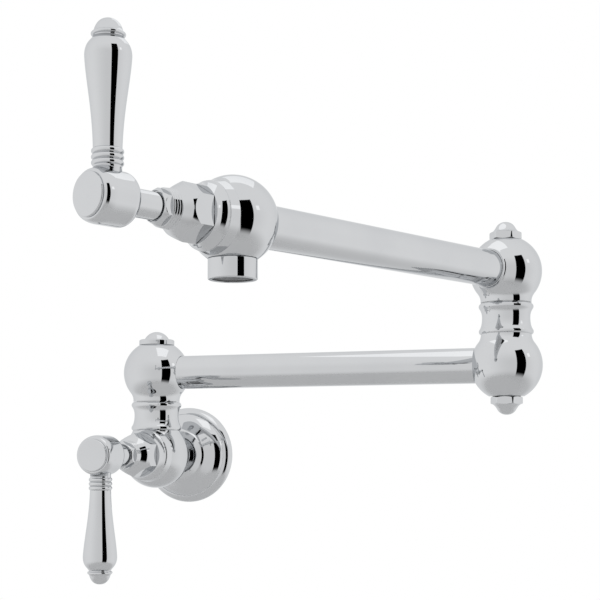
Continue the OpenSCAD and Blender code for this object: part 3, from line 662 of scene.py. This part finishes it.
def packing_nut():
    """Packing nut: a chamfered hexagon with a groove around the sleeve that stands in it."""
    hex_r = PACKING_NUT_AF / 2 + 1.4
    face_r = PACKING_NUT_AF / 2 - 0.05
    bore_r = SLEEVE_R + SLEEVE_CLEARANCE
    packing_end = PACKING_BASE + PACKING_T
    groove_floor = PACKING_NUT_END - 1.8
    sleeve_seat = SLEEVE_START - 0.3
    outline = [(STEM_HOLE_R, packing_end), (PACKING_R, packing_end), (PACKING_R, NOSE_END),
               (hex_r, NOSE_END), (hex_r, PACKING_NUT_END - 3.3),
               (face_r, PACKING_NUT_END - 1.05), (SLEEVE_R + 0.65, PACKING_NUT_END - 0.6),
               (SLEEVE_R + 0.6, groove_floor), (bore_r, groove_floor),
               (bore_r, sleeve_seat), (STEM_HOLE_R, sleeve_seat), (STEM_HOLE_R, packing_end)]
    piece = turned("base_gland_nut", outline)
    mill_flats(piece, PACKING_NUT_AF, NOSE_END - 0.01, PACKING_NUT_END + 0.01)
    soften_edges(piece, PACKING_NUT_BEVEL)
    polish(piece)
    return piece


def sleeve():
    """Plain sleeve over the stem, from the packing nut to the hub."""
    bore_r = SLEEVE_R - SLEEVE_WALL
    outline = [(bore_r, SLEEVE_START), (SLEEVE_R, SLEEVE_START), (SLEEVE_R, SLEEVE_END),
               (bore_r, SLEEVE_END), (bore_r, SLEEVE_START)]
    piece = turned("base_stem_sleeve", outline)
    polish(piece)
    return piece


def hub():
    """Hub of a lever, round behind and in front, bored for sleeve, stem and screw."""
    sleeve_r = SLEEVE_R + RADIAL_FIT
    sleeve_end = SLEEVE_END + AXIAL_FIT
    stem_r = SPLINE_R + RADIAL_FIT
    stem_end = STEM_END + AXIAL_FIT
    screw_r = SCREW_R + RADIAL_FIT
    front_start = HUB_END - HUB_FRONT_ROUND * 2.8
    outline = [(sleeve_r, sleeve_end), (sleeve_r, HUB_START)]
    outline += arc((HUB_R - HUB_REAR_ROUND, HUB_START + HUB_REAR_ROUND), HUB_REAR_ROUND,
                   270, 360, 26)
    outline += curve((HUB_R, front_start), (HUB_R - 0.05, front_start + HUB_FRONT_ROUND * 1.6),
                     (HUB_R - HUB_FRONT_ROUND * 0.45, HUB_END),
                     (HUB_R - HUB_FRONT_ROUND, HUB_END), 20)
    outline += [(POCKET_R, HUB_END), (POCKET_R, POCKET_START), (screw_r, POCKET_START),
                (screw_r, stem_end), (stem_r, stem_end), (stem_r, sleeve_end),
                (sleeve_r, sleeve_end)]
    piece = turned("base_handle_hub", outline)
    polish(piece)
    return piece


def hub_cap():
    """Low cap on the hub's face, with a spigot in the screw's pocket."""
    spigot_r = POCKET_R - RADIAL_FIT
    spigot_end = POCKET_START + SCREW_HEAD_T + 0.6
    top = HUB_END + HUB_CAP_T
    outline = [(0, spigot_end), (spigot_r, spigot_end), (spigot_r, HUB_END), (HUB_CAP_R, HUB_END)]
    outline += arc((HUB_CAP_R - HUB_CAP_ROUND, top - HUB_CAP_ROUND), HUB_CAP_ROUND, 0, 84, 10)
    outline += [(HUB_CAP_R * 0.5, top - 0.03), (0, top)]
    piece = turned("base_handle_cap", outline)
    polish(piece)
    return piece


def lever():
    """Turned lever: its foot cut to the hub, three rings, a swelling grip and an end button."""
    rings_end = RING_FIRST + (RINGS - 1) * RING_PITCH + RING_ROUND
    span = BUTTON_AT - rings_end
    thick_at = rings_end + span * GRIP_THICK_SHARE
    shoulder = BUTTON_AT - 1.3
    dome_r = BUTTON_NECK_R - 0.8
    valley = math.degrees(math.acos((LEVER_NECK_R - RING_R + RING_ROUND) / RING_ROUND))
    foot = HUB_R - LEVER_FOOT_IN
    outline = [(0, STUD_HOLE_END), (STUD_R, STUD_HOLE_END), (STUD_R, foot), (LEVER_NECK_R, foot)]
    for i in range(RINGS):
        outline += arc((RING_R - RING_ROUND, RING_FIRST + i * RING_PITCH), RING_ROUND,
                       -valley, valley, 12)
    outline += curve((GRIP_THIN_R, rings_end), (GRIP_THIN_R + 0.45, rings_end + span * 0.35),
                     (GRIP_THICK_R - 0.6, rings_end + span * 0.59), (GRIP_THICK_R, thick_at), 40)
    outline += curve((GRIP_THICK_R, thick_at), (GRIP_THICK_R - 0.1, thick_at + span * 0.11),
                     (BUTTON_NECK_R + 0.7, thick_at + span * 0.13),
                     (BUTTON_NECK_R, shoulder), 24)[1:]
    outline += arc((BUTTON_R - BUTTON_ROUND, BUTTON_AT), BUTTON_ROUND, -90, 70, 14)
    outline += curve((dome_r + 0.5, BUTTON_AT + 1.6), (dome_r - 0.3, BUTTON_AT + 4.4),
                     (dome_r * 0.7, LEVER_TIP), (0, LEVER_TIP), 24)
    piece = turned("base_lever_grip", outline)
    cut_round(piece, HUB_R + 0.01, HUB_R * 4, (math.pi / 2, 0, 0))
    polish(piece)
    return piece


def valves():
    """Both valves' outer pieces, each made at the base and copied to the head."""
    makers = {"neck_ring": neck_ring, "bonnet": bonnet, "packing_nut": packing_nut,
              "sleeve": sleeve, "hub": hub, "hub_cap": hub_cap, "lever": lever}
    places = {"base": out_along(base_centre, base_axis), "head": out_along(head_centre, head_axis)}
    still = {"base": "wall_body", "head": "second_arm"}
    for part, make in makers.items():
        made = {"base": make()}
        made["head"] = copied(made["base"], made["base"].name.replace("base", "head"))
        for end, piece in made.items():
            place = places[end]
            if part == "lever":
                place = lever_place(place, up=end == "head")
            body = still[end] if part in ("neck_ring", "bonnet", "packing_nut") else end + "_handle"
            placed(piece, place, body, None if part == "neck_ring" else end + "_" + part, chrome)


# Aerator

def aerator_shell():
    """Aerator's housing, open below inside a narrow lip that holds the screen."""
    bore_r = SPIGOT_R + RADIAL_FIT
    lip = AERATOR_FOOT - LIP_T
    outline = [(bore_r, AERATOR_SEAT), (AERATOR_R - AERATOR_CHAMFER, AERATOR_SEAT),
               (AERATOR_R, AERATOR_SEAT + AERATOR_CHAMFER), (AERATOR_R, AERATOR_FOOT - 0.9)]
    outline += arc((AERATOR_R - AERATOR_FOOT_ROUND, AERATOR_FOOT - AERATOR_FOOT_ROUND),
                   AERATOR_FOOT_ROUND, 0, 90)
    outline += [(SCREEN_OPEN_R, AERATOR_FOOT), (SCREEN_OPEN_R, lip), (bore_r, lip),
                (bore_r, AERATOR_SEAT)]
    shell = turned("aerator_housing", outline)
    polish(shell)
    placed(shell, standing(head_centre, over=True), "second_arm", "aerator_shell", chrome)


def aerator_screen():
    """Woven wire screen, its wires passing over and under each other."""
    count = 2 * math.ceil(SPIGOT_R / WIRE_PITCH)
    height = AERATOR_FOOT - LIP_T - SCREEN_T / 2
    bpy.ops.object.select_all(action="DESELECT")
    bpy.ops.mesh.primitive_grid_add(x_subdivisions=count, y_subdivisions=count,
                                    size=count * WIRE_PITCH * MM, location=(0, 0, height * MM))
    screen = bpy.context.object
    screen.name = "aerator_mesh"
    bpy.ops.object.transform_apply(location=True)
    bpy.ops.object.mode_set(mode="EDIT")
    bpy.ops.mesh.select_mode(type="VERT")
    bpy.ops.mesh.select_all(action="DESELECT")
    bpy.ops.object.mode_set(mode="OBJECT")
    for vertex in screen.data.vertices:
        vertex.select = vertex.co.xy.length > (SPIGOT_R - WIRE_D / 2) * MM
    bpy.ops.object.mode_set(mode="EDIT")
    bpy.ops.mesh.delete(type="VERT")
    bpy.ops.mesh.select_all(action="SELECT")
    bpy.ops.mesh.delete_loose()
    bpy.ops.object.mode_set(mode="OBJECT")
    for vertex in screen.data.vertices:
        column = round(vertex.co.x / (WIRE_PITCH * MM) + count / 2)
        row = round(vertex.co.y / (WIRE_PITCH * MM) + count / 2)
        vertex.co.z += (WIRE_WAVE if (column + row) % 2 else -WIRE_WAVE) * MM
    apply_modifier(screen, "WIREFRAME", thickness=WIRE_D * MM, use_even_offset=False,
                   use_boundary=True, use_replace=True)
    only(screen)
    bpy.ops.object.mode_set(mode="EDIT")
    bpy.ops.mesh.select_all(action="SELECT")
    bpy.ops.mesh.normals_make_consistent(inside=False)
    bpy.ops.object.mode_set(mode="OBJECT")
    bpy.ops.object.shade_smooth()
    placed(screen, standing(head_centre, over=True), "second_arm", "aerator_screen", steel)


# Studio

def socket_math(tree, operation, first, second=None):
    """A math node on sockets or plain numbers."""
    step = tree.nodes.new("ShaderNodeMath")
    step.operation = operation
    for slot, value in zip(step.inputs, (first, second)):
        if value is None:
            continue
        if isinstance(value, (int, float)):
            slot.default_value = value
        else:
            tree.links.new(value, slot)
    return step.outputs[0]


def rise(tree, source, start, end, low=0.0, high=1.0):
    """Smooth change from one value to another between two angles in degrees."""
    step = tree.nodes.new("ShaderNodeMapRange")
    step.interpolation_type = "SMOOTHSTEP"
    step.inputs["From Min"].default_value = math.radians(start)
    step.inputs["From Max"].default_value = math.radians(end)
    step.inputs["To Min"].default_value = low
    step.inputs["To Max"].default_value = high
    tree.links.new(source, step.inputs["Value"])
    return step.outputs["Result"]


def between(tree, source, start, end, soft):
    """1 between two angles and 0 outside them, with soft edges."""
    return socket_math(tree, "MULTIPLY", rise(tree, source, start - soft, start + soft),
                       rise(tree, source, end - soft, end + soft, 1, 0))


def studio_surround():
    """Pale tent with one tall dark flag to the right, a greyer floor and a small lamp."""
    world = bpy.data.worlds.new("studio_surround")
    bpy.context.scene.world = world
    world.use_nodes = True
    tree = world.node_tree
    background = tree.nodes["Background"]
    background.inputs["Color"].default_value = (1, 1, 1, 1)
    where = tree.nodes.new("ShaderNodeTexCoord")
    parts = tree.nodes.new("ShaderNodeSeparateXYZ")
    tree.links.new(where.outputs["Generated"], parts.inputs[0])
    ahead = socket_math(tree, "MULTIPLY", parts.outputs["Y"], -1.0)
    around = socket_math(tree, "ARCTAN2", parts.outputs["X"], ahead)
    height = socket_math(tree, "ARCSINE", parts.outputs["Z"])
    floor_side = rise(tree, height, *FLOOR_EDGE, FLOOR_TONE, 1.0)
    shade_band = between(tree, around, *SHADE_SIDES, SHADE_SOFT)
    shade_low = rise(tree, height, *SHADE_FADE, SHADE_DEPTH, 0.0)
    shade = socket_math(tree, "SUBTRACT", 1.0, socket_math(tree, "MULTIPLY", shade_band, shade_low))
    flag_side = between(tree, around, *FLAG_SIDES, FLAG_SOFT)
    flag_high = socket_math(tree, "MULTIPLY", rise(tree, height, *FLAG_FOOT),
                            rise(tree, height, *FLAG_TOP, 1, 0))
    flag = socket_math(tree, "SUBTRACT", 1.0, socket_math(tree, "MULTIPLY", flag_side, flag_high))
    glint = socket_math(tree, "MULTIPLY", between(tree, around, *GLINT_SIDES, GLINT_SOFT),
                        between(tree, height, *GLINT_HEIGHTS, GLINT_SOFT))
    tone = socket_math(tree, "MULTIPLY", floor_side, shade)
    tone = socket_math(tree, "MULTIPLY", tone, flag)
    tone = socket_math(tree, "MULTIPLY", tone, TENT_STRENGTH)
    tone = socket_math(tree, "ADD", tone, socket_math(tree, "MULTIPLY", glint, GLINT_STRENGTH))
    seen = tree.nodes.new("ShaderNodeLightPath")
    tone = socket_math(tree, "MAXIMUM", tone, seen.outputs["Is Camera Ray"])
    tree.links.new(tone, background.inputs["Strength"])


def overhead_lamp():
    """Soft lamp above the arms, seen only in the chrome."""
    bpy.ops.object.select_all(action="DESELECT")
    bpy.ops.mesh.primitive_plane_add(size=1, location=LAMP_AT,
                                     rotation=(0, 0, math.radians(LAMP_TURN)))
    lamp = bpy.context.object
    lamp.name = "overhead_lamp"
    lamp.scale = LAMP_SIZE
    material, tree_nodes, links = new_material("lamp_face")
    tree_nodes.remove(tree_nodes["Principled BSDF"])
    glow = tree_nodes.new("ShaderNodeEmission")
    glow.inputs["Strength"].default_value = LAMP_STRENGTH
    links.new(glow.outputs[0], tree_nodes["Material Output"].inputs["Surface"])
    lamp.data.materials.append(material)
    lamp.visible_camera = False
    lamp.visible_diffuse = False
    lamp.visible_shadow = False


def studio_floor():
    """Pale floor well below the fitting, fading out to the surround."""
    bpy.ops.object.select_all(action="DESELECT")
    bpy.ops.mesh.primitive_circle_add(vertices=96, radius=FLOOR_R, fill_type="NGON",
                                      location=FLOOR_AT)
    floor = bpy.context.object
    floor.name = "studio_floor"
    material, tree_nodes, links = new_material("floor_paper")
    tree_nodes.remove(tree_nodes["Principled BSDF"])
    paper = tree_nodes.new("ShaderNodeBsdfDiffuse")
    clear = tree_nodes.new("ShaderNodeBsdfTransparent")
    mix = tree_nodes.new("ShaderNodeMixShader")
    seen = tree_nodes.new("ShaderNodeLightPath")
    tint = tree_nodes.new("ShaderNodeMix")
    tint.data_type = "RGBA"
    tint.inputs["A"].default_value = (0.70, 0.70, 0.70, 1)
    tint.inputs["B"].default_value = (1.0, 1.0, 1.0, 1)
    links.new(seen.outputs["Is Camera Ray"], tint.inputs["Factor"])
    links.new(tint.outputs["Result"], paper.inputs["Color"])
    where = tree_nodes.new("ShaderNodeTexCoord")
    reach = tree_nodes.new("ShaderNodeVectorMath")
    reach.operation = "LENGTH"
    fade = tree_nodes.new("ShaderNodeMapRange")
    fade.interpolation_type = "SMOOTHSTEP"
    fade.inputs["From Min"].default_value = FLOOR_FADE[0]
    fade.inputs["From Max"].default_value = FLOOR_FADE[1]
    links.new(where.outputs["Object"], reach.inputs[0])
    links.new(reach.outputs["Value"], fade.inputs["Value"])
    links.new(fade.outputs["Result"], mix.inputs["Fac"])
    links.new(paper.outputs[0], mix.inputs[1])
    links.new(clear.outputs[0], mix.inputs[2])
    links.new(mix.outputs[0], tree_nodes["Material Output"].inputs["Surface"])
    floor.data.materials.append(material)


def photo_camera():
    """Camera that sees the fitting as the photograph does."""
    camera = bpy.data.objects.new("photo_camera", bpy.data.cameras.new("photo_camera"))
    bpy.context.collection.objects.link(camera)
    camera.location = CAMERA_AT
    camera.rotation_euler = (math.radians(90 + CAMERA_PITCH), 0, math.radians(CAMERA_YAW))
    camera.data.lens = CAMERA_LENS
    camera.data.sensor_width = CAMERA_SENSOR
    camera.data.shift_y = CAMERA_SHIFT
    camera.data.clip_start = 0.01
    bpy.context.scene.camera = camera


dress_cad()
wall_flange()
tube_lips()
post_cap()
acorn_nuts()
valves()
aerator_shell()
aerator_screen()
studio_surround()
overhead_lamp()
studio_floor()
photo_camera()
bpy.context.scene.view_settings.view_transform = "Standard"
